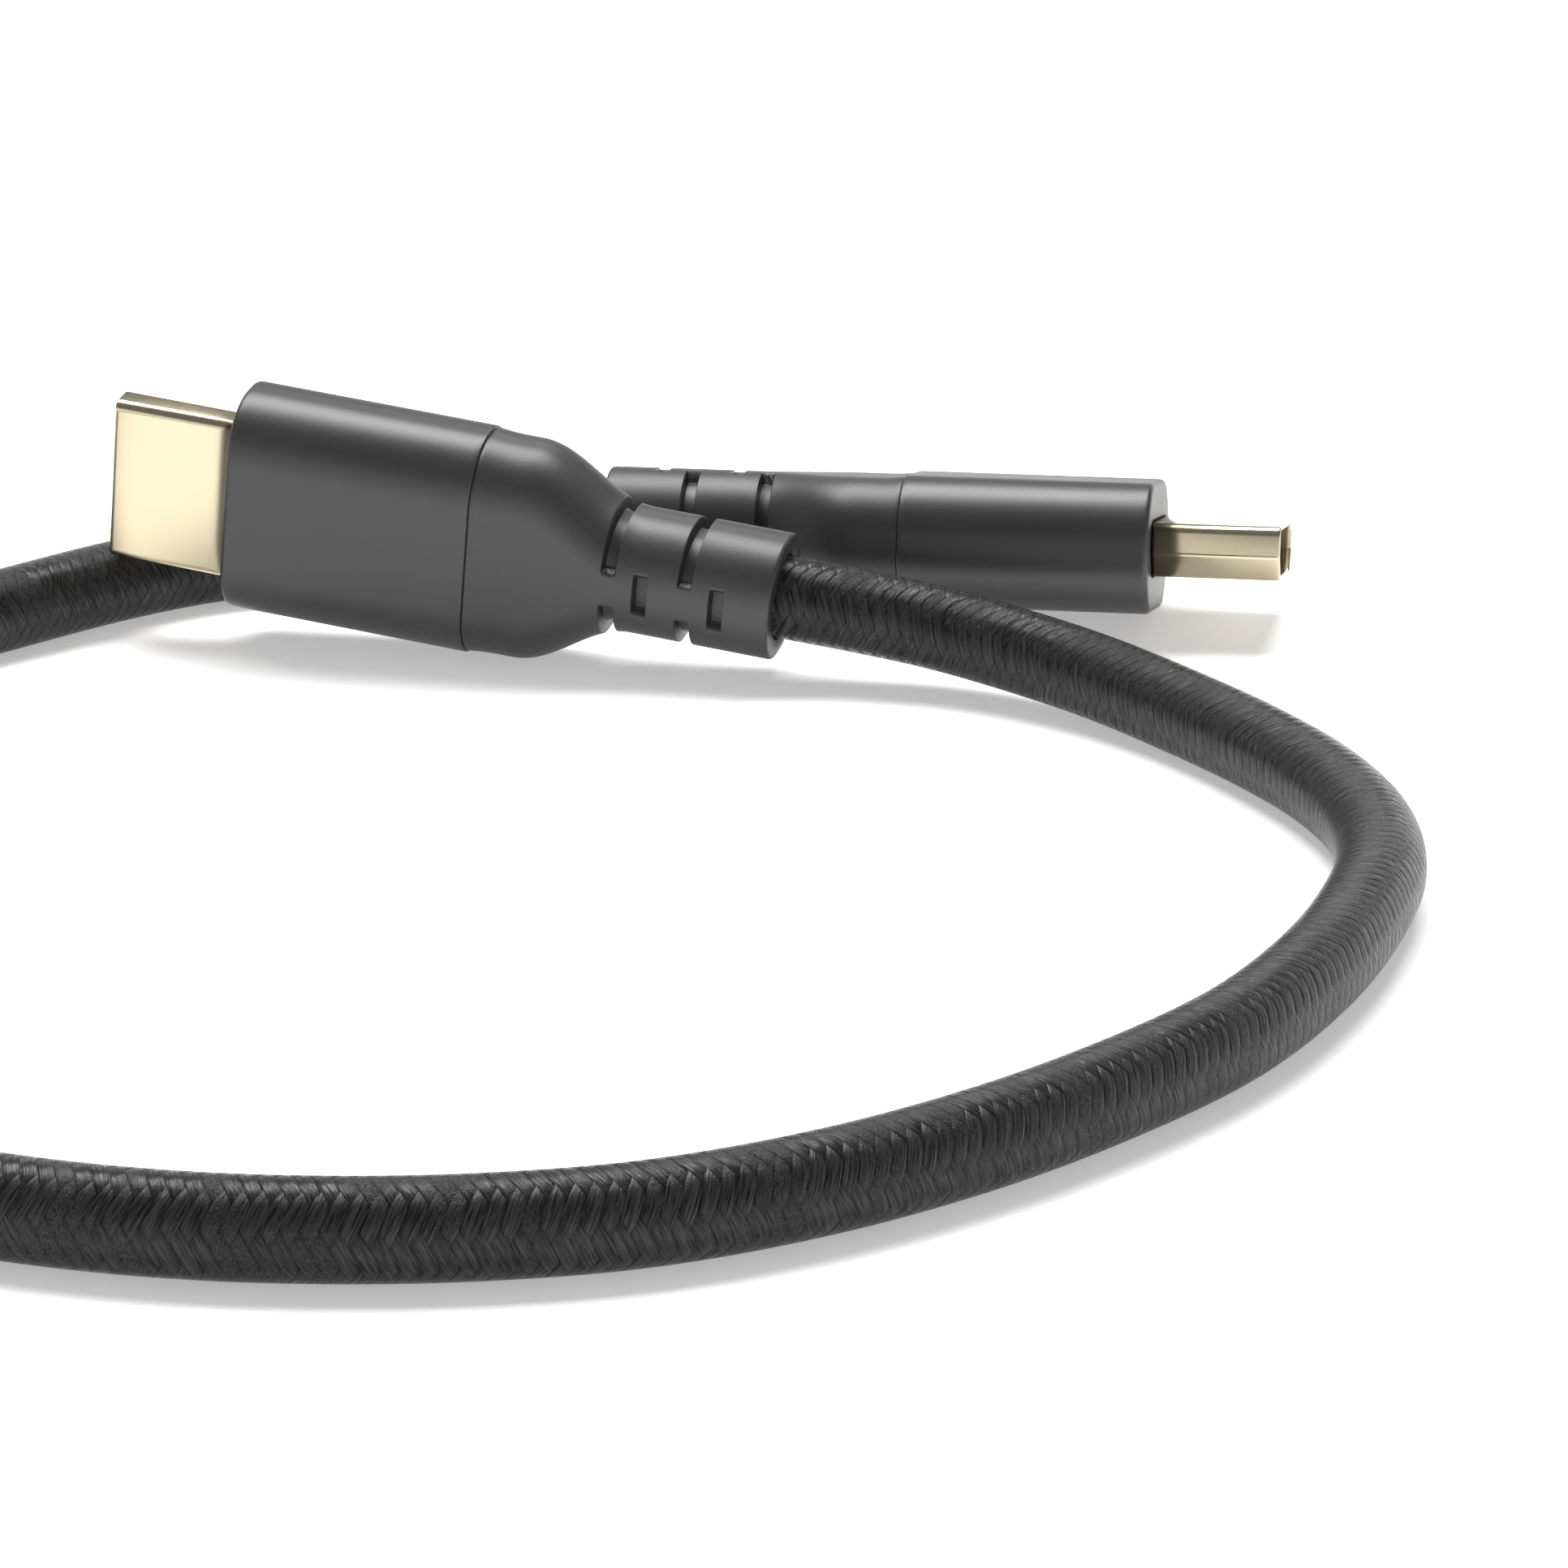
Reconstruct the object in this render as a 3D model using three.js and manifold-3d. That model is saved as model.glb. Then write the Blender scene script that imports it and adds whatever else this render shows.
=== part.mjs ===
// HDMI cable of the half metre class: a round braided cable that lies on the floor in one loop,
// with a Type A plug moulded onto each end. Millimetres, +Z up. The origin is on the floor, under
// the middle of the two plugs. Plug A stands on its narrow side in front, plug B lies behind it.
import * as THREE from 'three';
import { mergeVertices } from 'three/addons/utils/BufferGeometryUtils.js';
import Module from 'manifold-3d';

const wasm = await Module();
wasm.setup();

// Cable
const cableDiameter = 6.7;
const cableSides = 12;
const cableStep = 2 * cableDiameter;
const cableSeat = 0.3;

// Metal shell, to the Type A outline: one wide side, and the corners of the other side cut away
const shellWidth = 13.9;
const shellThickness = 4.45;
const shellWall = 0.35;
const shellCorner = 0.8;
const shellCutWidth = 1.6;
const shellCutHeight = 1.9;
const shellReach = 10.5;
const shellDepth = 7;
const shellClearance = 0.3;

// Plastic contact block inside the shell, and its slot
const blockClearance = 0.15;
const blockRecess = 0.8;
const blockFloor = 0.85;
const slotDepth = 9;
const slotMargin = 0.75;

// Contacts, in a row of ten on the wide side and a row of nine on the narrow side
const contactPitch = 1;
const contactsOnWideSide = 10;
const contactsOnNarrowSide = 9;
const contactWidth = 0.5;
const contactThickness = 0.5;
const contactClearance = 0.1;
const contactProud = 0.1;
const contactSetback = 0.9;

// Housing sleeve
const housingWidth = 19;
const housingThickness = 10.7;
const housingEdgeFlat = 0.9;
const housingCorner = (housingThickness - housingEdgeFlat) / 2;
const housingLength = 20.5;
const rimRadius = 0.5;

// Boot, which is the shoulder and the strain relief in one moulding
const bootLength = 25.2;
const bootStep = 0.3;
const seamGap = 0.3;
const shoulderStart = 3.8;
const shoulderLength = 9.6;
const shoulderLayers = 8;
const neckWidth = 10;
const bootRim = 0.3;
const reliefSlotWidth = 1.1;
const reliefSlotDepth = 1;
const reliefSlotPitch = 6.3;
const reliefSlotsOnASide = 2;
const faceSlotPlace = 4.4;
const faceSlotSpan = 3.3;
const edgeSlotPlace = 7.1;
const edgeSlotSpan = 3.4;

const cornerSegments = 5;
const smallCornerSegments = 3;

// Where each plug's cable leaves it, and how the plug is turned: yaw, then pitch, then roll
const plugPlaces = {
  a: { exit: [6.5, -11.7, 6.8], yaw: 166, pitch: 7, roll: -98 },
  b: { exit: [-7.9, 10.7, 6.3], yaw: -8.5, pitch: 0.3, roll: -13 },
};

// The cable's centre line between the plugs, as it lies on the floor
const floorLine = cableDiameter / 2;
const routeAfterPlugA = [
  [18.7, -15.1, 5.2], [25.3, -19.0, 4.4], [31.5, -24.4, 3.8], [37.4, -31.7, floorLine],
  [42.9, -41.2, floorLine], [46.8, -50.0, floorLine], [49.2, -59.6, floorLine],
  [49.3, -69.2, floorLine], [47.1, -79.2, floorLine], [42.8, -91.4, floorLine],
  [36.4, -103.7, floorLine], [27.7, -114.6, floorLine], [18.7, -123.4, floorLine],
  [8.7, -130.7, floorLine], [-1.9, -135.8, floorLine], [-11.9, -138.0, floorLine],
  [-22.0, -138.5, floorLine], [-31.9, -137.5, floorLine], [-42.3, -134.6, floorLine],
  [-52.9, -129.3, floorLine], [-63.1, -121.9, floorLine], [-72.4, -112.2, floorLine],
  [-79.7, -100.8, floorLine], [-84.9, -88.0, floorLine], [-87.4, -74.4, floorLine],
  [-87.1, -60.6, floorLine], [-84.3, -47.2, floorLine], [-79.1, -34.2, floorLine],
  [-71.8, -22.0, floorLine], [-64.2, -11.7, floorLine], [-56.3, -3.1, floorLine],
  [-48.5, 4.8, floorLine], [-42.3, 9.6, floorLine], [-35.4, 12.5, 3.5],
  [-28.0, 13.5, 4.3], [-20.8, 12.7, 5.6],
];

const degrees = Math.PI / 180;
const faceX = bootLength + housingLength;
const mouthX = faceX + shellReach;
const shellBackX = faceX - shellDepth;
const bootWidth = housingWidth - 2 * bootStep;
const bootThickness = housingThickness - 2 * bootStep;
const bootCorner = housingCorner - bootStep;

function roundedRectangle(width, height, radius) {
  const x = width / 2 - radius;
  const y = height / 2 - radius;
  const shape = new THREE.Shape();
  shape.absarc(x, y, radius, 0, Math.PI / 2);
  shape.absarc(-x, y, radius, Math.PI / 2, Math.PI);
  shape.absarc(-x, -y, radius, Math.PI, 1.5 * Math.PI);
  shape.absarc(x, -y, radius, 1.5 * Math.PI, 2 * Math.PI);
  return shape;
}

// The shell's outline, moved inwards by inset all round
function shellOutline(inset) {
  const halfWidth = shellWidth / 2;
  const halfThickness = shellThickness / 2;
  const slant = Math.hypot(shellCutWidth, shellCutHeight);
  const cutX = halfWidth - shellCutWidth - inset * (slant - shellCutWidth) / shellCutHeight;
  const cutY = shellCutHeight - halfThickness + inset * (slant - shellCutHeight) / shellCutWidth;
  const x = halfWidth - inset;
  const y = halfThickness - inset;
  const radius = shellCorner - inset;
  const shape = new THREE.Shape();
  shape.moveTo(-cutX, -y);
  shape.lineTo(cutX, -y);
  shape.lineTo(x, cutY);
  shape.absarc(x - radius, y - radius, radius, 0, Math.PI / 2);
  shape.absarc(radius - x, y - radius, radius, Math.PI / 2, Math.PI);
  shape.lineTo(-x, cutY);
  return shape;
}

// A straight bar along +X: the section's x lies along Y and its y along Z
function bar(section, fromX, toX, curveSegments) {
  const geometry = new THREE.ExtrudeGeometry(section, {
    depth: toX - fromX, bevelEnabled: false, curveSegments,
  });
  const turn = new THREE.Matrix4().set(0, 0, 1, fromX, 1, 0, 0, 0, 0, 1, 0, 0, 0, 0, 0, 1);
  return geometry.applyMatrix4(turn);
}

// A bar whose section shrinks on its way: each layer is moved to its own x, and its corners are
// drawn in by narrow on both edges and by thin on both faces
function shapedBar(section, layers) {
  const geometry = new THREE.ExtrudeGeometry(section, {
    depth: layers.length - 1, steps: layers.length - 1, bevelEnabled: false,
    curveSegments: cornerSegments,
  });
  const points = geometry.attributes.position;
  for (let i = 0; i < points.count; i++) {
    const { x, narrow, thin } = layers[Math.round(points.getZ(i))];
    const y = points.getX(i);
    const z = points.getY(i);
    points.setXYZ(i, x, y - Math.sign(y) * narrow, z - Math.sign(z) * thin);
  }
  return geometry;
}

function solid(geometry) {
  const bare = geometry.clone();
  bare.deleteAttribute('normal');
  bare.deleteAttribute('uv');
  const merged = mergeVertices(bare, 1e-5);
  return new wasm.Manifold(new wasm.Mesh({
    numProp: 3,
    vertProperties: new Float32Array(merged.attributes.position.array),
    triVerts: new Uint32Array(merged.index.array),
  }));
}

function geometryOf(manifold) {
  const mesh = manifold.getMesh();
  const geometry = new THREE.BufferGeometry();
  geometry.setAttribute('position', new THREE.BufferAttribute(mesh.vertProperties, 3));
  geometry.setIndex(new THREE.BufferAttribute(mesh.triVerts, 1));
  return geometry.toNonIndexed();
}

function boxAt(sizeX, sizeY, sizeZ, x, y, z) {
  return solid(new THREE.BoxGeometry(sizeX, sizeY, sizeZ).translate(x, y, z));
}

function makeShell() {
  const section = shellOutline(0);
  section.holes.push(shellOutline(shellWall));
  return bar(section, shellBackX, mouthX, smallCornerSegments);
}

// Contacts of one row lie side by side, centred on the plug
function rowPlaces(count) {
  return Array.from({ length: count }, (_, i) => (i - (count - 1) / 2) * contactPitch);
}

const blockInset = shellWall + blockClearance;
const slotHeight = shellThickness - 2 * blockInset - 2 * blockFloor;
const grooveWidth = contactWidth + 2 * contactClearance;
const grooveDepth = contactThickness - contactProud + contactClearance;
const slotWidth = (contactsOnWideSide - 1) * contactPitch + grooveWidth + 2 * slotMargin;
const blockFrontX = mouthX - blockRecess;
const slotBackX = blockFrontX - slotDepth;

// The slot's section, with a groove for each contact in both of its long walls
function slotSection() {
  const shape = new THREE.Shape();
  shape.moveTo(-slotWidth / 2, -slotHeight / 2);
  for (const y of rowPlaces(contactsOnNarrowSide)) {
    shape.lineTo(y - grooveWidth / 2, -slotHeight / 2);
    shape.lineTo(y - grooveWidth / 2, -slotHeight / 2 - grooveDepth);
    shape.lineTo(y + grooveWidth / 2, -slotHeight / 2 - grooveDepth);
    shape.lineTo(y + grooveWidth / 2, -slotHeight / 2);
  }
  shape.lineTo(slotWidth / 2, -slotHeight / 2);
  shape.lineTo(slotWidth / 2, slotHeight / 2);
  for (const y of rowPlaces(contactsOnWideSide).reverse()) {
    shape.lineTo(y + grooveWidth / 2, slotHeight / 2);
    shape.lineTo(y + grooveWidth / 2, slotHeight / 2 + grooveDepth);
    shape.lineTo(y - grooveWidth / 2, slotHeight / 2 + grooveDepth);
    shape.lineTo(y - grooveWidth / 2, slotHeight / 2);
  }
  shape.lineTo(-slotWidth / 2, slotHeight / 2);
  return shape;
}

function makeContactBlock() {
  const block = solid(bar(shellOutline(blockInset), shellBackX, blockFrontX, smallCornerSegments));
  const slot = solid(bar(slotSection(), slotBackX, blockFrontX + blockRecess, smallCornerSegments));
  return geometryOf(block.subtract(slot));
}

// One contact, lying in its groove in the wall on the given side of the slot
function makeContact(y, side) {
  const fromX = slotBackX + contactClearance;
  const toX = blockFrontX - contactSetback;
  const middle = slotHeight / 2 - contactProud + contactThickness / 2;
  const geometry = new THREE.BoxGeometry(toX - fromX, contactWidth, contactThickness);
  return geometry.translate((fromX + toX) / 2, y, side * middle);
}

function makeHousing() {
  const section = roundedRectangle(housingWidth, housingThickness, housingCorner);
  const softEdge = 1 - Math.SQRT1_2;
  const body = solid(shapedBar(section, [
    { x: bootLength, narrow: 0, thin: 0 },
    { x: faceX - rimRadius, narrow: 0, thin: 0 },
    { x: faceX - rimRadius * softEdge, narrow: rimRadius * softEdge, thin: rimRadius * softEdge },
    { x: faceX, narrow: rimRadius, thin: rimRadius },
  ]));
  const pocketSection = shellOutline(-shellClearance);
  const pocketBackX = shellBackX - shellClearance;
  const pocket = solid(bar(pocketSection, pocketBackX, faceX + rimRadius, smallCornerSegments));
  return geometryOf(body.subtract(pocket));
}

// Half of a cosine wave takes the shoulder from the housing's width to the neck's
function shoulderNarrowing(share) {
  return (bootWidth - neckWidth) / 2 * (1 - Math.cos(Math.PI * share)) / 2;
}

function makeBootBlank() {
  const bootFrontX = bootLength - seamGap;
  const shoulderX = bootLength - shoulderStart;
  const neck = shoulderNarrowing(1);
  const layers = [
    { x: 0, narrow: neck + bootRim, thin: bootRim },
    { x: bootRim, narrow: neck, thin: 0 },
  ];
  for (let i = shoulderLayers; i >= 0; i--) {
    const share = i / shoulderLayers;
    layers.push({ x: shoulderX - share * shoulderLength, narrow: shoulderNarrowing(share), thin: 0 });
  }
  layers.push({ x: bootFrontX, narrow: 0, thin: 0 });
  return solid(shapedBar(roundedRectangle(bootWidth, bootThickness, bootCorner), layers));
}

// The relief's slots: on the two faces short ones across the middle, and between them along the
// neck longer ones that wrap each edge. The core that they leave holds the cable.
function makeReliefSlots() {
  const reach = bootWidth;
  const cutters = [];
  for (let i = 0; i < reliefSlotsOnASide; i++) {
    const faceSlotX = faceSlotPlace + i * reliefSlotPitch;
    const edgeSlotX = edgeSlotPlace + i * reliefSlotPitch;
    cutters.push(boxAt(reliefSlotWidth, faceSlotSpan, reach, faceSlotX, 0, 0));
    for (const side of [-1, 1]) {
      const middle = side * (neckWidth / 2 - edgeSlotSpan + reach / 2);
      cutters.push(boxAt(reliefSlotWidth, reach, reach, edgeSlotX, middle, 0));
    }
  }
  const coreSection = roundedRectangle(
    neckWidth - 2 * reliefSlotDepth,
    bootThickness - 2 * reliefSlotDepth,
    bootCorner - reliefSlotDepth,
  );
  const core = solid(bar(coreSection, -bootRim, bootLength, cornerSegments));
  return wasm.Manifold.union(cutters).subtract(core);
}

function makeBoot() {
  return geometryOf(makeBootBlank().subtract(makeReliefSlots()));
}

function place(name) {
  const { exit, yaw, pitch, roll } = plugPlaces[name];
  const group = new THREE.Group();
  group.position.fromArray(exit);
  group.rotation.set(roll * degrees, -pitch * degrees, yaw * degrees, 'ZYX');
  group.updateMatrixWorld(true);
  return group;
}

function piece(name, geometry, color, roughness, metalness) {
  const material = new THREE.MeshStandardMaterial({ color, roughness, metalness });
  const mesh = new THREE.Mesh(geometry, material);
  mesh.name = name;
  return mesh;
}

function makePlug(name) {
  const plug = place(name);
  plug.add(piece(`plug_${name}_shell`, makeShell(), 0xe3c88d, 0.25, 1));
  plug.add(piece(`plug_${name}_contact_block`, makeContactBlock(), 0x121212, 0.5, 0));
  const wideSide = rowPlaces(contactsOnWideSide).map((y) => makeContact(y, 1));
  const narrowSide = rowPlaces(contactsOnNarrowSide).map((y) => makeContact(y, -1));
  wideSide.forEach((geometry, i) => {
    plug.add(piece(`plug_${name}_contact_${2 * i + 1}`, geometry, 0xe3c88d, 0.25, 1));
  });
  narrowSide.forEach((geometry, i) => {
    plug.add(piece(`plug_${name}_contact_${2 * i + 2}`, geometry, 0xe3c88d, 0.25, 1));
  });
  plug.add(piece(`plug_${name}_housing`, makeHousing(), 0x2b2b2c, 0.45, 0));
  plug.add(piece(`plug_${name}_boot`, makeBoot(), 0x2b2b2c, 0.55, 0));
  return plug;
}

// The cable starts just off the end of one boot, straight along that plug, and so it ends
function makeCable(plugA, plugB) {
  const start = plugA.localToWorld(new THREE.Vector3(-cableSeat, 0, 0));
  const afterStart = plugA.localToWorld(new THREE.Vector3(-cableDiameter, 0, 0));
  const beforeEnd = plugB.localToWorld(new THREE.Vector3(-cableDiameter, 0, 0));
  const end = plugB.localToWorld(new THREE.Vector3(-cableSeat, 0, 0));
  const free = routeAfterPlugA.map((point) => new THREE.Vector3(...point));
  const points = [start, afterStart, ...free, beforeEnd, end];
  const route = new THREE.CatmullRomCurve3(points, false, 'centripetal');
  const section = new THREE.Shape().absarc(0, 0, cableDiameter / 2, 0, 2 * Math.PI);
  const geometry = new THREE.ExtrudeGeometry(section, {
    steps: Math.round(route.getLength() / cableStep), extrudePath: route,
    curveSegments: cableSides / 2,
  });
  return piece('cable', geometry, 0x1f1f20, 0.6, 0);
}

const hdmiCable = new THREE.Group();
const plugA = makePlug('a');
const plugB = makePlug('b');
hdmiCable.add(plugA, plugB, makeCable(plugA, plugB));

export default hdmiCable;
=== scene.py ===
# Video cable: a short braided cable that lies on a white floor in one loop, with a gold-plated
# Type A plug, a smooth black housing and a slotted strain relief on each end. The two plugs are
# alike, so each section below makes its piece for plug A and for plug B.
import math

import bmesh
import bpy
import numpy as np
from mathutils import Matrix


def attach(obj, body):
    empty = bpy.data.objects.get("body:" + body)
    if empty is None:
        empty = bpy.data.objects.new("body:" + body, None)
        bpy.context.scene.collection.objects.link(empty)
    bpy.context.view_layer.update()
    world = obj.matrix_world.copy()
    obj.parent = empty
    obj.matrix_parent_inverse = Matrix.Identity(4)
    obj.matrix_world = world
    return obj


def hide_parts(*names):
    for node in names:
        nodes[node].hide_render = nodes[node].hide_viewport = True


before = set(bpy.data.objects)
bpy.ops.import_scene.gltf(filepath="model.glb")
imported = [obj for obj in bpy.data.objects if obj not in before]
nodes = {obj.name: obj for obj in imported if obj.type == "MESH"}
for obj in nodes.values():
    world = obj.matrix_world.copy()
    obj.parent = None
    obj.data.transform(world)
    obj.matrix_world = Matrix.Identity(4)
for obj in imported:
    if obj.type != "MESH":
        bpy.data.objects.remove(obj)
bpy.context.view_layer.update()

# Metal shell: thin steel sheet folded to the Type A outline, with one wide side and the corners
# of the other side cut away. It is plated with gold and polished, and it stands 10.5 mm out of
# the housing, in which its rear end is moulded.
SHELL_WIDTH, SHELL_THICKNESS, SHELL_WALL = 13.9, 4.45, 0.35
SHELL_CUT_WIDTH, SHELL_CUT_HEIGHT = 1.6, 1.9
SHELL_CORNER, SHELL_CUT_CORNER = 0.8, 0.6
SHELL_BACK, SHELL_MOUTH = 38.7, 56.2

# The lip round the mouth: how far back of the mouth, and how far inwards.
LIP_REACH = 0.4
MOUTH_LIP = (
    (0.16, 0), (0.09, 0.02), (0.03, 0.07), (0, 0.14),
    (0, 0.21), (0.03, 0.28), (0.09, 0.33), (0.16, 0.35),
)

# Where the plugs lie: plug A stands on its narrow side in front, plug B lies behind it on its
# wide side. Each plug is made along its own X axis, in millimetres: 0 is where the cable leaves
# the boot, +X is towards the mouth, Y is across its width and +Z is out of its wide side.
PLUG_PLACES = {
    "a": {"exit": (6.5, -11.7, 6.8), "yaw": 166, "pitch": 7, "roll": -98},
    "b": {"exit": (-7.9, 10.7, 6.3), "yaw": -8.5, "pitch": 0.3, "roll": -13},
}


def plug_to_world(plug):
    """The matrix from a plug's own frame to the row frame, in millimetres."""
    place = PLUG_PLACES[plug]
    turn = (
        Matrix.Rotation(math.radians(place["yaw"]), 4, "Z")
        @ Matrix.Rotation(math.radians(-place["pitch"]), 4, "Y")
        @ Matrix.Rotation(math.radians(place["roll"]), 4, "X")
    )
    return np.array(Matrix.Translation(place["exit"]) @ turn)


def in_world(points_mm, plug):
    """Points of a plug's own frame, in millimetres, as points of the row frame in metres."""
    matrix = plug_to_world(plug)
    return (np.asarray(points_mm) @ matrix[:3, :3].T + matrix[:3, 3]) / 1000


def rounded_outline(corners, radii, steps=8):
    """A closed outline through the corners, each rounded by its own radius."""
    corners = np.asarray(corners, float)
    points = []
    for i, corner in enumerate(corners):
        before = corners[i - 1] - corner
        after = corners[(i + 1) % len(corners)] - corner
        before /= np.linalg.norm(before)
        after /= np.linalg.norm(after)
        half = math.acos(np.clip(before @ after, -1, 1)) / 2
        tangent = radii[i] / math.tan(half)
        middle = corner + (before + after) / np.linalg.norm(before + after) * radii[i] / math.sin(half)
        first = corner + before * tangent - middle
        last = corner + after * tangent - middle
        sweep = math.atan2(first[0] * last[1] - first[1] * last[0], first @ last)
        for step in range(steps + 1):
            angle = sweep * step / steps
            turned = (
                first[0] * math.cos(angle) - first[1] * math.sin(angle),
                first[0] * math.sin(angle) + first[1] * math.cos(angle),
            )
            points.append(middle + turned)
    return np.array(points)


def shell_outline(inset):
    """The shell's outline, moved inwards by inset all round."""
    half_width, half_thickness = SHELL_WIDTH / 2, SHELL_THICKNESS / 2
    slant = math.hypot(SHELL_CUT_WIDTH, SHELL_CUT_HEIGHT)
    cut_y = half_width - SHELL_CUT_WIDTH - inset * (slant - SHELL_CUT_WIDTH) / SHELL_CUT_HEIGHT
    cut_z = SHELL_CUT_HEIGHT - half_thickness + inset * (slant - SHELL_CUT_HEIGHT) / SHELL_CUT_WIDTH
    y, z = half_width - inset, half_thickness - inset
    corners = [(y, z), (-y, z), (-y, cut_z), (-cut_y, -z), (cut_y, -z), (y, cut_z)]
    return rounded_outline(corners, 2 * [SHELL_CORNER - inset] + 4 * [SHELL_CUT_CORNER - inset])


def lofted(name, rings, plug, closed=False):
    """A skin over rings of (x, outline), with capped ends or closed into a ring of rings."""
    count = len(rings[0][1])
    points = [np.column_stack((np.full(count, x), outline)) for x, outline in rings]
    vertices = in_world(np.vstack(points), plug)
    faces = []
    for ring in range(len(rings) - (0 if closed else 1)):
        here, there = ring * count, (ring + 1) % len(rings) * count
        for i in range(count):
            j = (i + 1) % count
            faces.append((here + i, there + i, there + j, here + j))
    if not closed:
        faces.append(tuple(range(count)))
        faces.append(tuple(reversed(range(len(vertices) - count, len(vertices)))))
    mesh = bpy.data.meshes.new(name)
    mesh.from_pydata(vertices.tolist(), [], faces)
    cleaned = bmesh.new()
    cleaned.from_mesh(mesh)
    bmesh.ops.recalc_face_normals(cleaned, faces=cleaned.faces)
    cleaned.to_mesh(mesh)
    cleaned.free()
    mesh.shade_smooth()
    piece = bpy.data.objects.new(name, mesh)
    bpy.context.scene.collection.objects.link(piece)
    return piece


def sized(outline, amount):
    """The outline moved inwards by amount along its normals."""
    ahead = np.roll(outline, -1, axis=0) - outline
    ahead[np.linalg.norm(ahead, axis=1) < 1e-9] = 0
    along = ahead + np.roll(ahead, 1, axis=0)
    along /= np.linalg.norm(along, axis=1)[:, None]
    return outline + amount * np.column_stack((-along[:, 1], along[:, 0]))


def linear(hex_colour):
    """An sRGB hex colour as linear red, green, blue and alpha."""
    parts = [int(hex_colour[i:i + 2], 16) / 255 for i in (1, 3, 5)]
    return [p / 12.92 if p <= 0.04045 else ((p + 0.055) / 1.055) ** 2.4 for p in parts] + [1]


def node(tree, kind, settings=None, **inputs):
    """Adds a node: settings are its properties, inputs its sockets' values, or what they link to."""
    added = tree.nodes.new(kind)
    for key, value in (settings or {}).items():
        setattr(added, key, value)
    for key, value in inputs.items():
        socket = added.inputs[int(key[1:])] if key[0] == "_" else added.inputs[key.replace("_", " ")]
        if isinstance(value, bpy.types.Node):
            value = value.outputs[0]
        if isinstance(value, bpy.types.NodeSocket):
            tree.links.new(value, socket)
        else:
            socket.default_value = value
    return added


def new_material(name):
    material = bpy.data.materials.new(name)
    material.use_nodes = True
    material.node_tree.nodes.clear()
    return material, material.node_tree


# Gold plating over nickel, polished: pale gold, mirror-like but for the faint unevenness of thin
# pressed sheet, which breaks up its reflections, and fine handling marks that vary its gloss.
SHEET_WAVE, HANDLING_MARK = 4.5, 0.38
gold_plating, tree = new_material("polished_gold_plating")
place = node(tree, "ShaderNodeTexCoord")
waves = node(tree, "ShaderNodeTexNoise", Vector=place.outputs["Object"], Scale=1000 / SHEET_WAVE, Detail=2.0)
marks = node(tree, "ShaderNodeTexNoise", Vector=place.outputs["Object"], Scale=1000 / HANDLING_MARK, Detail=4.0)
gloss = node(tree, "ShaderNodeMapRange", Value=marks, To_Min=0.17, To_Max=0.25)
bump = node(tree, "ShaderNodeBump", Height=waves, Strength=0.05, Distance=0.0001)
gold = node(
    tree, "ShaderNodeBsdfPrincipled", Base_Color=linear("#CCC0A4"), Metallic=1.0,
    Roughness=gloss, Normal=bump,
)
node(tree, "ShaderNodeOutputMaterial", Surface=gold)

for plug in ("a", "b"):
    outside, inside = shell_outline(0), shell_outline(SHELL_WALL)
    rings = [(SHELL_BACK, outside), (SHELL_MOUTH - LIP_REACH, outside)]
    rings += [(SHELL_MOUTH - back, shell_outline(inset)) for back, inset in MOUTH_LIP]
    rings += [(SHELL_MOUTH - LIP_REACH, inside), (SHELL_BACK, inside)]
    shell = lofted(f"plug_{plug}_metal_shell", rings, plug, closed=True)
    shell.data.materials.append(gold_plating)
    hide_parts(f"plug_{plug}_shell")
    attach(shell, "root")


# Contact block: the black insulator inside the shell, moulded in liquid-crystal polymer, with a
# slot for the receptacle's tongue. The CAD block has its true shape and stays, with this finish:
# nearly black and matte, with a fine moulded grain.
BLOCK_GRAIN = 0.25
block_plastic, tree = new_material("moulded_liquid_crystal_polymer")
place = node(tree, "ShaderNodeTexCoord")
grain = node(tree, "ShaderNodeTexNoise", Vector=place.outputs["Object"], Scale=1000 / BLOCK_GRAIN, Detail=3.0)
tone = node(
    tree, "ShaderNodeMix", {"data_type": "RGBA"},
    Factor=grain, _6=linear("#0B0B0B"), _7=linear("#191919"),
)
bump = node(tree, "ShaderNodeBump", Height=grain, Strength=0.2, Distance=0.00003)
plastic = node(
    tree, "ShaderNodeBsdfPrincipled", Base_Color=tone.outputs[2], Roughness=0.55, Normal=bump,
)
node(tree, "ShaderNodeOutputMaterial", Surface=plastic)

for plug in ("a", "b"):
    nodes[f"plug_{plug}_contact_block"].material_slots[0].material = block_plastic


# Contacts: 19 stamped strips of phosphor bronze in the block's grooves, ten on the wide side and
# nine on the other, plated with a deeper gold than the shell, whose gloss varies faintly with the
# rolled strip's grain. The CAD strips stay.
CONTACTS_EACH_PLUG, STRIP_GRAIN = 19, 0.29
contact_plating, tree = new_material("stamped_gold_plated_bronze")
place = node(tree, "ShaderNodeTexCoord")
rolling = node(tree, "ShaderNodeTexNoise", Vector=place.outputs["Object"], Scale=1000 / STRIP_GRAIN, Detail=2.0)
gloss = node(tree, "ShaderNodeMapRange", Value=rolling, To_Min=0.2, To_Max=0.32)
bronze = node(
    tree, "ShaderNodeBsdfPrincipled", Base_Color=linear("#E0BC6C"), Metallic=1.0,
    Roughness=gloss,
)
node(tree, "ShaderNodeOutputMaterial", Surface=bronze)

for plug in ("a", "b"):
    for number in range(1, CONTACTS_EACH_PLUG + 1):
        nodes[f"plug_{plug}_contact_{number}"].material_slots[0].material = contact_plating


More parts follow.
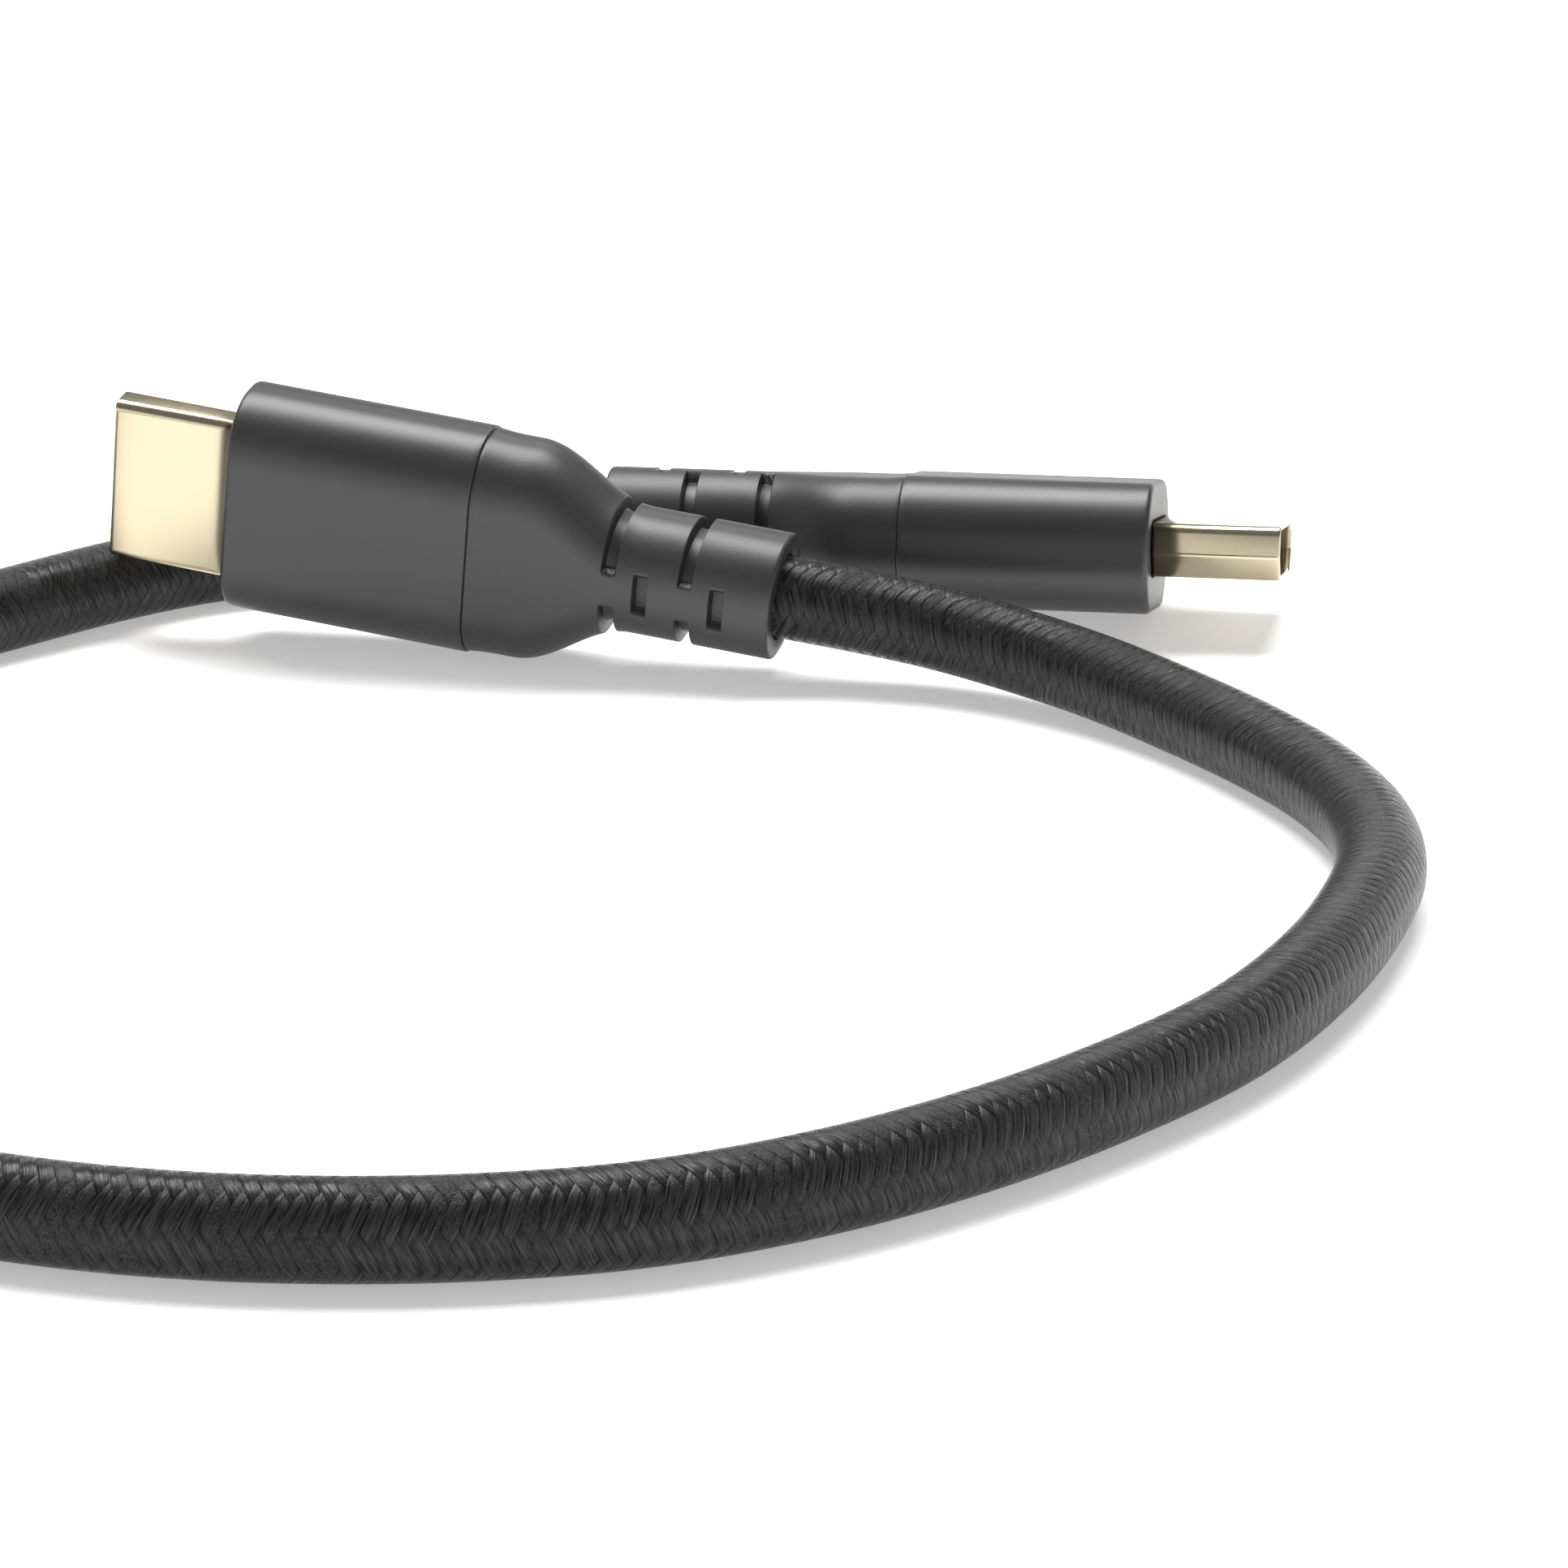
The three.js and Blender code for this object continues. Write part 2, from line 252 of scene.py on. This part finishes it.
# Housing: a smooth black sleeve with rounded narrow sides, moulded round the shell's rear end.
# Its front rim is rounded by half a millimetre, and its rear edge makes the seam with the boot.
HOUSING_WIDTH, HOUSING_THICKNESS, HOUSING_CORNER = 19, 10.7, 4.9
HOUSING_BACK, HOUSING_FRONT = 25.2, 45.7
HOUSING_RIM, RIM_STEPS = 0.5, 6
CORNER_STEPS, WIDE_STEPS, NARROW_STEPS = 40, 18, 4
POCKET_GAP, POCKET_BACK = 0.12, SHELL_BACK - 0.2

# The edge at the seam: how far ahead of the housing's back, and how far inwards.
SEAM_EDGE = ((0, 0.6), (0, 0.1), (0.03, 0.03), (0.1, 0))


def sleeve_outline(width, thickness, corner):
    """A rounded rectangle, evenly stepped, with its flats as finely stepped as its corners."""
    y, z = width / 2 - corner, thickness / 2 - corner
    points = []
    for quarter, (cy, cz) in enumerate(((y, z), (-y, z), (-y, -z), (y, -z))):
        for step in range(CORNER_STEPS):
            angle = (quarter + step / CORNER_STEPS) * math.pi / 2
            points.append((cy + corner * math.cos(angle), cz + corner * math.sin(angle)))
        steps = WIDE_STEPS if quarter % 2 == 0 else NARROW_STEPS
        angle = (quarter + 1) * math.pi / 2
        start = np.array((cy + corner * math.cos(angle), cz + corner * math.sin(angle)))
        next_y, next_z = ((-y, z), (-y, -z), (y, -z), (y, z))[quarter]
        end = np.array((next_y + corner * math.cos(angle), next_z + corner * math.sin(angle)))
        points += [tuple(start + (end - start) * step / steps) for step in range(steps)]
    return np.array(points)


def facing(outline, towards):
    """The points of one outline that lie in the same directions as those of another."""
    steps = np.linspace(0, 1, 50, endpoint=False)[None, :, None]
    following = np.roll(outline, -1, axis=0)
    outline = (outline[:, None] * (1 - steps) + following[:, None] * steps).reshape(-1, 2)
    angles = np.arctan2(outline[:, 1], outline[:, 0])
    order = np.argsort(angles)
    wrapped = np.concatenate((angles[order] - 2 * np.pi, angles[order], angles[order] + 2 * np.pi))
    reach = np.tile(np.linalg.norm(outline, axis=1)[order], 3)
    wanted = np.arctan2(towards[:, 1], towards[:, 0])
    radius = np.interp(wanted, wrapped, reach)
    return np.column_stack((radius * np.cos(wanted), radius * np.sin(wanted)))


# Moulded ABS with a fine spark-eroded texture: satin black, with a soft broad highlight where the
# narrow side turns. The real grain is about 0.04 mm, and it is drawn coarser, so that it just shows.
SPARK_GRAIN, FLOW_MARK = 0.11, 11
housing_plastic, tree = new_material("spark_textured_moulded_abs")
place = node(tree, "ShaderNodeTexCoord")
grain = node(tree, "ShaderNodeTexNoise", Vector=place.outputs["Object"], Scale=1000 / SPARK_GRAIN, Detail=3.0)
flow = node(tree, "ShaderNodeTexNoise", Vector=place.outputs["Object"], Scale=1000 / FLOW_MARK, Detail=3.0)
tone = node(
    tree, "ShaderNodeMix", {"data_type": "RGBA"},
    Factor=flow, _6=linear("#2B2B2C"), _7=linear("#303031"),
)
gloss = node(tree, "ShaderNodeMapRange", Value=flow, To_Min=0.36, To_Max=0.44)
bump = node(tree, "ShaderNodeBump", Height=grain, Strength=0.25, Distance=0.00002)
plastic = node(
    tree, "ShaderNodeBsdfPrincipled", Base_Color=tone.outputs[2], Roughness=gloss,
    Specular_IOR_Level=0.65, Normal=bump,
)
node(tree, "ShaderNodeOutputMaterial", Surface=plastic)

for plug in ("a", "b"):
    section = sleeve_outline(HOUSING_WIDTH, HOUSING_THICKNESS, HOUSING_CORNER)
    pocket = facing(shell_outline(-POCKET_GAP), section)
    rings = [(HOUSING_BACK + front, sized(section, inset)) for front, inset in SEAM_EDGE]
    rings += [(HOUSING_BACK + HOUSING_RIM, section), (HOUSING_FRONT - 2 * HOUSING_RIM, section)]
    for step in range(RIM_STEPS + 1):
        angle = step / RIM_STEPS * math.pi / 2
        back, inset = HOUSING_RIM * (1 - math.sin(angle)), HOUSING_RIM * (1 - math.cos(angle))
        rings.append((HOUSING_FRONT - back, sized(section, inset)))
    rings += [(HOUSING_FRONT, sized(section, HOUSING_RIM + 0.2))]
    rings += [(HOUSING_FRONT, sized(pocket, -0.15)), (HOUSING_FRONT, pocket)]
    rings += [(HOUSING_FRONT - 0.1, pocket), (POCKET_BACK, pocket)]
    housing = lofted(f"plug_{plug}_moulded_housing", rings, plug)
    housing.data.materials.append(housing_plastic)
    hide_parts(f"plug_{plug}_housing")
    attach(housing, "root")


# Boot: the shoulder that narrows to the cable and the slotted strain relief behind it, moulded in
# one piece. Two short slots lie across each wide face, and between them longer ones wrap each
# narrow side, so that the relief bends with the cable.
BOOT_FRONT, BOOT_STEP, NECK_WIDTH = 24.9, 0.3, 10
SHOULDER_FRONT, SHOULDER_LENGTH = 21.4, 9.6
SLOT_WIDTH, SLOT_DEPTH = 1.1, 1.0
FACE_SLOTS, FACE_SLOT_HALF = (4.4, 10.7), 1.65
EDGE_SLOTS, EDGE_SLOT_START = (7.1, 13.4), 1.6
SLOT_END_EASE, SLOT_WALL_EASE = 0.12, (-0.1, 0.08)
BORE_RADIUS, BORE_DEPTH = 3.5, 1.5
STATION_STEP = 0.4
SLOT_WALL_STATIONS = (-0.16, -0.1, -0.07, -0.04, -0.01, 0.02, 0.05, 0.08, 0.14)

# The boot's two rounded edges: how far ahead of its back end or back of its front, and how far
# inwards.
NECK_EDGE = ((0, 0.4), (0, 0.3), (0.03, 0.15), (0.09, 0.07), (0.2, 0.01), (0.3, 0))
FRONT_EDGE = (
    (2, 0), (1, -0.04), (0.4, -0.1), (0.05, -0.14),
    (-0.2, -0.14), (-0.28, -0.1), (-0.3, -0.02), (-0.3, 0.8),
)


def eased(value, start, end):
    """0 before the start, 1 after the end, and smooth between them."""
    share = np.clip((value - start) / (end - start), 0, 1)
    return share * share * (3 - 2 * share)


def boot_section(x):
    """The boot's section at x: the housing's, 0.3 mm lower all round, narrowed to the neck."""
    width = HOUSING_WIDTH - 2 * BOOT_STEP
    corner = HOUSING_CORNER - BOOT_STEP
    section = sleeve_outline(width, HOUSING_THICKNESS - 2 * BOOT_STEP, corner)
    share = np.clip((SHOULDER_FRONT - x) / SHOULDER_LENGTH, 0, 1)
    narrow = (width - NECK_WIDTH) / 2 * (1 - math.cos(math.pi * share)) / 2
    flat = width / 2 - corner
    y = section[:, 0]
    outer = np.sign(y) * (np.abs(y) - narrow)
    section[:, 0] = np.where(np.abs(y) < flat, y * (flat - narrow) / flat, outer)
    return section


def slot_depth(x, section):
    """How deep the relief's slots are pressed into the boot at x, for each point of its section."""
    across = np.abs(section[:, 0])
    in_face = 1 - eased(across, FACE_SLOT_HALF - SLOT_END_EASE, FACE_SLOT_HALF + SLOT_END_EASE)
    in_edge = eased(across, EDGE_SLOT_START - SLOT_END_EASE, EDGE_SLOT_START + SLOT_END_EASE)
    depth = np.zeros(len(section))
    for places, inside in ((FACE_SLOTS, in_face), (EDGE_SLOTS, in_edge)):
        for place_x in places:
            off = abs(x - place_x) - SLOT_WIDTH / 2
            depth = np.maximum(depth, SLOT_DEPTH * (1 - eased(off, *SLOT_WALL_EASE)) * inside)
    return depth


# Where the boot's rings lie: evenly spaced, and close together at each slot's walls.
boot_stations = set(np.round(np.arange(0.6, BOOT_FRONT - 2.2, STATION_STEP), 3))
for place_x in FACE_SLOTS + EDGE_SLOTS:
    for off in SLOT_WALL_STATIONS:
        boot_stations.add(round(place_x - SLOT_WIDTH / 2 - off, 3))
        boot_stations.add(round(place_x + SLOT_WIDTH / 2 + off, 3))

# Soft PVC, moulded in the same black: slightly duller than the housing, with the faint unevenness
# of a soft part and nearly the same texture, also drawn coarser than the real one.
SOFT_GRAIN, SOFT_FLOW_MARK = 0.14, 6.7
boot_plastic, tree = new_material("moulded_soft_pvc")
place = node(tree, "ShaderNodeTexCoord")
grain = node(tree, "ShaderNodeTexNoise", Vector=place.outputs["Object"], Scale=1000 / SOFT_GRAIN, Detail=3.0)
flow = node(tree, "ShaderNodeTexNoise", Vector=place.outputs["Object"], Scale=1000 / SOFT_FLOW_MARK, Detail=3.0)
tone = node(
    tree, "ShaderNodeMix", {"data_type": "RGBA"},
    Factor=flow, _6=linear("#2A2A2B"), _7=linear("#313132"),
)
gloss = node(tree, "ShaderNodeMapRange", Value=flow, To_Min=0.4, To_Max=0.5)
bump = node(tree, "ShaderNodeBump", Height=grain, Strength=0.3, Distance=0.00003)
plastic = node(
    tree, "ShaderNodeBsdfPrincipled", Base_Color=tone.outputs[2], Roughness=gloss,
    Specular_IOR_Level=0.65, Normal=bump,
)
node(tree, "ShaderNodeOutputMaterial", Surface=plastic)

for plug in ("a", "b"):
    neck, front = boot_section(0), boot_section(BOOT_FRONT)
    angles = np.arctan2(neck[:, 1], neck[:, 0])
    hole = np.column_stack((np.cos(angles), np.sin(angles))) * BORE_RADIUS
    rings = [(BORE_DEPTH, hole), (0.1, hole), (0, hole * 1.03)]
    rings += [(x, sized(neck, inset)) for x, inset in NECK_EDGE]
    for x in sorted(boot_stations):
        section = boot_section(x)
        inward = sized(section, 1) - section
        rings.append((x, section + inward * slot_depth(x, section)[:, None]))
    rings += [(BOOT_FRONT - back, sized(front, inset)) for back, inset in FRONT_EDGE]
    boot = lofted(f"plug_{plug}_moulded_boot", rings, plug)
    boot.data.materials.append(boot_plastic)
    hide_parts(f"plug_{plug}_boot")
    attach(boot, "root")


# Cable: 6.7 mm across, with a tight sleeve braided from 16 flat bundles of fine black polyester
# filament, two over and two under. It leaves plug A, goes round once on the floor and comes back
# to plug B, and both ends are moulded into the boots. The route is that of the CAD cable.
CABLE_DIAMETER = 6.7
FLOOR_LINE = CABLE_DIAMETER / 2
ROUTE_AFTER_PLUG_A = [
    (18.7, -15.1, 5.2), (25.3, -19.0, 4.4), (31.5, -24.4, 3.8), (37.4, -31.7, FLOOR_LINE),
    (42.9, -41.2, FLOOR_LINE), (46.8, -50.0, FLOOR_LINE), (49.2, -59.6, FLOOR_LINE),
    (49.3, -69.2, FLOOR_LINE), (47.1, -79.2, FLOOR_LINE), (42.8, -91.4, FLOOR_LINE),
    (36.4, -103.7, FLOOR_LINE), (27.7, -114.6, FLOOR_LINE), (18.7, -123.4, FLOOR_LINE),
    (8.7, -130.7, FLOOR_LINE), (-1.9, -135.8, FLOOR_LINE), (-11.9, -138.0, FLOOR_LINE),
    (-22.0, -138.5, FLOOR_LINE), (-31.9, -137.5, FLOOR_LINE), (-42.3, -134.6, FLOOR_LINE),
    (-52.9, -129.3, FLOOR_LINE), (-63.1, -121.9, FLOOR_LINE), (-72.4, -112.2, FLOOR_LINE),
    (-79.7, -100.8, FLOOR_LINE), (-84.9, -88.0, FLOOR_LINE), (-87.4, -74.4, FLOOR_LINE),
    (-87.1, -60.6, FLOOR_LINE), (-84.3, -47.2, FLOOR_LINE), (-79.1, -34.2, FLOOR_LINE),
    (-71.8, -22.0, FLOOR_LINE), (-64.2, -11.7, FLOOR_LINE), (-56.3, -3.1, FLOOR_LINE),
    (-48.5, 4.8, FLOOR_LINE), (-42.3, 9.6, FLOOR_LINE), (-35.4, 12.5, 3.5),
    (-28.0, 13.5, 4.3), (-20.8, 12.7, 5.6),
]
CABLE_SIDES = 64
RING_STEP = 0.3
BUNDLE_STEP = 1.175
BUNDLES_EACH_WAY = 8


def smooth_line(points, step, steps_each=60):
    """Points a step apart on a centripetal Catmull-Rom curve, which the CAD route follows too."""
    points = np.vstack((2 * points[0] - points[1], points, 2 * points[-1] - points[-2]))
    fine = []
    for p0, p1, p2, p3 in zip(points, points[1:], points[2:], points[3:]):
        spans = [np.linalg.norm(b - a) ** 0.5 for a, b in ((p0, p1), (p1, p2), (p2, p3))]
        t0, t1, t2, t3 = np.cumsum([0] + spans)
        for t in np.linspace(t1, t2, steps_each, endpoint=False):
            a1 = (t1 - t) / (t1 - t0) * p0 + (t - t0) / (t1 - t0) * p1
            a2 = (t2 - t) / (t2 - t1) * p1 + (t - t1) / (t2 - t1) * p2
            a3 = (t3 - t) / (t3 - t2) * p2 + (t - t2) / (t3 - t2) * p3
            b1 = (t2 - t) / (t2 - t0) * a1 + (t - t0) / (t2 - t0) * a2
            b2 = (t3 - t) / (t3 - t1) * a2 + (t - t1) / (t3 - t1) * a3
            fine.append((t2 - t) / (t2 - t1) * b1 + (t - t1) / (t2 - t1) * b2)
    fine = np.array(fine + [points[-2]])
    walked = np.concatenate(([0], np.cumsum(np.linalg.norm(np.diff(fine, axis=0), axis=1))))
    places = np.linspace(0, walked[-1], round(walked[-1] / step) + 1)
    return np.column_stack([np.interp(places, walked, fine[:, axis]) for axis in range(3)])


inside_boot, off_boot = (1.0, 0, 0), (-CABLE_DIAMETER, 0, 0)
ends_a = in_world([inside_boot, off_boot], "a") * 1000
ends_b = in_world([off_boot, inside_boot], "b") * 1000
line = smooth_line(np.vstack((ends_a, ROUTE_AFTER_PLUG_A, ends_b)), RING_STEP)
ahead = np.gradient(line, axis=0)
ahead /= np.linalg.norm(ahead, axis=1)[:, None]
level = np.cross((0, 0, 1), ahead)
level /= np.linalg.norm(level, axis=1)[:, None]
upward = np.cross(ahead, level)
turns = np.arange(CABLE_SIDES) / CABLE_SIDES * 2 * np.pi
ring_points = (
    line[:, None]
    - upward[:, None] * np.cos(turns)[None, :, None] * CABLE_DIAMETER / 2
    + level[:, None] * np.sin(turns)[None, :, None] * CABLE_DIAMETER / 2
)
ring_count = len(line)
faces = []
braid_places = []
for ring in range(ring_count - 1):
    x0, x1 = ring * RING_STEP / BUNDLE_STEP, (ring + 1) * RING_STEP / BUNDLE_STEP
    for side in range(CABLE_SIDES):
        after = (side + 1) % CABLE_SIDES
        c0, c1 = side / CABLE_SIDES * BUNDLES_EACH_WAY, (side + 1) / CABLE_SIDES * BUNDLES_EACH_WAY
        here, there = ring * CABLE_SIDES, (ring + 1) * CABLE_SIDES
        faces.append((here + side, here + after, there + after, there + side))
        braid_places += [x0, c0, x0, c1, x1, c1, x1, c0]
mesh = bpy.data.meshes.new("cable_braid")
mesh.from_pydata((ring_points.reshape(-1, 3) / 1000).tolist(), [], faces)
mesh.uv_layers.new(name="braid").data.foreach_set("uv", braid_places)
mesh.shade_smooth()
cable = bpy.data.objects.new("braided_cable", mesh)
bpy.context.scene.collection.objects.link(cable)

# Braided polyester filament: each bundle is a flat ribbon of parallel filaments, satin along its top, which
# passes over two others and dives under the next two, and the slit at each dive is darkened with painted shade.
# A bundle is 1.07 mm wide. Real filaments are about 0.03 mm, too fine to show, so eight of about
# 0.13 mm are drawn across each bundle. In patches of about 3.4 mm they are ruffled, which shows as
# speckles of 0.13 mm. Places on the braid are counted in bundles, which is what its scales divide.
RIBBON_RISE, RIBBON_BULGE, RIBBON_FLATNESS = 0.55, 0.4, 5.0
FILAMENTS_ACROSS, FILAMENT_STRETCH = 8.0, 0.5
braid, tree = new_material("braided_polyester_filament")
place = node(tree, "ShaderNodeUVMap", {"uv_map": "braid"})
axes = node(tree, "ShaderNodeSeparateXYZ", Vector=place)
along_cable, round_cable = axes.outputs[0], axes.outputs[1]
right_place = node(tree, "ShaderNodeMath", {"operation": "SUBTRACT"}, _0=along_cable, _1=round_cable)
left_place = node(tree, "ShaderNodeMath", {"operation": "ADD"}, _0=along_cable, _1=round_cable)
right_number = node(tree, "ShaderNodeMath", {"operation": "FLOOR"}, _0=right_place)
left_number = node(tree, "ShaderNodeMath", {"operation": "FLOOR"}, _0=left_place)


def ribbon(across, number, along, phase):
    """How high a ribbon runs: it rises over two others, dives under two, and bulges across."""
    past = node(tree, "ShaderNodeMath", {"operation": "SUBTRACT"}, _0=along, _1=number)
    turn = node(tree, "ShaderNodeMath", {"operation": "MULTIPLY_ADD"}, _0=past, _1=math.pi / 2, _2=phase)
    rise = node(tree, "ShaderNodeMath", {"operation": "COSINE"}, _0=turn)
    share = node(tree, "ShaderNodeMath", {"operation": "SUBTRACT"}, _0=across, _1=number)
    off_middle = node(tree, "ShaderNodeMath", {"operation": "MULTIPLY_ADD"}, _0=share, _1=2.0, _2=-1.0)
    to_edge = node(tree, "ShaderNodeMath", {"operation": "ABSOLUTE"}, _0=off_middle)
    fall = node(tree, "ShaderNodeMath", {"operation": "POWER"}, _0=to_edge, _1=RIBBON_FLATNESS)
    bulge = node(
        tree, "ShaderNodeMath", {"operation": "MULTIPLY_ADD"},
        _0=fall, _1=-RIBBON_BULGE, _2=RIBBON_BULGE,
    )
    return node(tree, "ShaderNodeMath", {"operation": "MULTIPLY_ADD"}, _0=rise, _1=RIBBON_RISE, _2=bulge)


def filament_place(across, number, along, bundle_shift):
    """Where a ribbon's filaments lie: fine across it, long along it, and other ones in each."""
    spot = node(tree, "ShaderNodeCombineXYZ", X=across, Y=along, Z=number)
    spacing = (FILAMENTS_ACROSS, FILAMENT_STRETCH, bundle_shift)
    return node(tree, "ShaderNodeVectorMath", {"operation": "MULTIPLY"}, _0=spot, _1=spacing)


right_height = ribbon(right_place, right_number, left_place, 0.0)
left_height = ribbon(left_place, left_number, right_place, -1.5 * math.pi)
right_on_top = node(tree, "ShaderNodeMath", {"operation": "GREATER_THAN"}, _0=right_height, _1=left_height)
ribbon_height = node(tree, "ShaderNodeMath", {"operation": "MAXIMUM"}, _0=right_height, _1=left_height)

top_filaments = node(
    tree, "ShaderNodeMix", {"data_type": "VECTOR"}, Factor=right_on_top,
    _4=filament_place(left_place, left_number, right_place, 0.53),
    _5=filament_place(right_place, right_number, left_place, 0.37),
)
filaments = node(
    tree, "ShaderNodeTexNoise",
    Vector=top_filaments.outputs[1], Scale=1.0, Detail=2.0, Roughness=0.7, Distortion=0.3,
)
ruffled = node(tree, "ShaderNodeTexNoise", Vector=place, Scale=0.35, Detail=2.0)
speckles = node(tree, "ShaderNodeTexNoise", Vector=place, Scale=9.0, Detail=3.0, Roughness=0.8)
ruffled_part = node(tree, "ShaderNodeMapRange", Value=ruffled, From_Min=0.48, From_Max=0.62)
mixed_height = node(
    tree, "ShaderNodeMix", {"data_type": "FLOAT"}, Factor=ruffled_part, _2=filaments, _3=speckles,
)
fine_height = node(tree, "ShaderNodeMapRange", Value=mixed_height, From_Min=0.38, From_Max=0.62)

# Painted shade: where a ribbon dives into its slit, its colour is darkened to nearly black (#020202).
out_of_painted_slit_shade = node(tree, "ShaderNodeMapRange", Value=ribbon_height, From_Min=0.14, From_Max=0.55)
# The filaments' and speckles' tone varies at random with the same height as their bump, and it is darker in the
# bump's hollows: that darkening is painted shade between the filaments.
tone = node(
    tree, "ShaderNodeMix", {"data_type": "RGBA"},
    Factor=fine_height, _6=linear("#090909"), _7=linear("#3B3B3C"),
)
with_painted_slit_shade = node(
    tree, "ShaderNodeMix", {"data_type": "RGBA"},
    Factor=out_of_painted_slit_shade, _6=linear("#020202"), _7=tone.outputs[2],
)
gloss = node(tree, "ShaderNodeMapRange", Value=fine_height, To_Min=0.34, To_Max=0.19)
ribbon_bump = node(tree, "ShaderNodeBump", Height=ribbon_height, Strength=1.0, Distance=0.00018)
bump = node(
    tree, "ShaderNodeBump",
    Height=fine_height, Strength=0.8, Distance=0.000032, Normal=ribbon_bump,
)
polyester = node(
    tree, "ShaderNodeBsdfPrincipled", Base_Color=with_painted_slit_shade.outputs[2], Roughness=gloss,
    Specular_IOR_Level=0.21, Normal=bump,
)
node(tree, "ShaderNodeOutputMaterial", Surface=polyester)

cable.data.materials.append(braid)
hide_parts("cable")
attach(cable, "root")


# Floor: a matte white acrylic sheet, lit so brightly from above and faintly from below that only
# the soft shadows round the cable and under the plugs show.
floor_sheet = bpy.data.meshes.new("floor")
reach = 6
corners = [(-reach, -reach, 0), (reach, -reach, 0), (reach, reach, 0), (-reach, reach, 0)]
floor_sheet.from_pydata(corners, [], [(0, 1, 2, 3)])
floor = bpy.data.objects.new("floor", floor_sheet)
bpy.context.scene.collection.objects.link(floor)
studio_white, tree = new_material("white_studio_acrylic")
acrylic = node(
    tree, "ShaderNodeBsdfPrincipled", Base_Color=linear("#FFFFFF"), Roughness=0.9,
    Specular_IOR_Level=0.1, Emission_Color=linear("#FFFFFF"), Emission_Strength=0.38,
)
node(tree, "ShaderNodeOutputMaterial", Surface=acrylic)
floor_sheet.materials.append(studio_white)

# Light: one broad softbox above and behind the plugs, which whitens the floor, shades it towards
# the camera and draws the bright line along each rounded top, in a room that is white up to the
# table's horizon and dim above it. The dark band below the bright line is that dim room.
world = bpy.data.worlds.new("dim_studio")
world.use_nodes = True
tree = world.node_tree
tree.nodes.clear()
direction = node(tree, "ShaderNodeTexCoord")
axes = node(tree, "ShaderNodeSeparateXYZ", Vector=direction.outputs["Generated"])
brightness = node(
    tree, "ShaderNodeMapRange",
    Value=axes.outputs[2], From_Min=0.12, From_Max=0.35, To_Min=1.5, To_Max=0.25,
)
room = node(tree, "ShaderNodeBackground", Strength=brightness)
node(tree, "ShaderNodeOutputWorld", Surface=room)
bpy.context.scene.world = world
bpy.context.scene.view_settings.view_transform = "Standard"


def softbox(name, power, size, location, target):
    light = bpy.data.lights.new(name, "AREA")
    light.shape = "RECTANGLE"
    light.size, light.size_y = size
    light.energy = power
    lamp = bpy.data.objects.new(name, light)
    bpy.context.scene.collection.objects.link(lamp)
    lamp.location = location
    aim = Matrix.Translation(target).translation - lamp.location
    lamp.rotation_euler = aim.to_track_quat("-Z", "Y").to_euler()


softbox("rear_softbox", 11.5, (0.8, 0.45), (-0.05, 0.3, 0.78), (0, -0.06, 0))

# Camera: a long lens, half a metre in front of the plugs and 18 degrees above the floor.
lens = bpy.data.cameras.new("camera")
lens.lens = 149.45
lens.sensor_width = 36
camera = bpy.data.objects.new("camera", lens)
bpy.context.scene.collection.objects.link(camera)
camera.location = (0.0065, -0.5116, 0.15347)
camera.rotation_euler = (math.radians(72), 0, 0)
bpy.context.scene.camera = camera
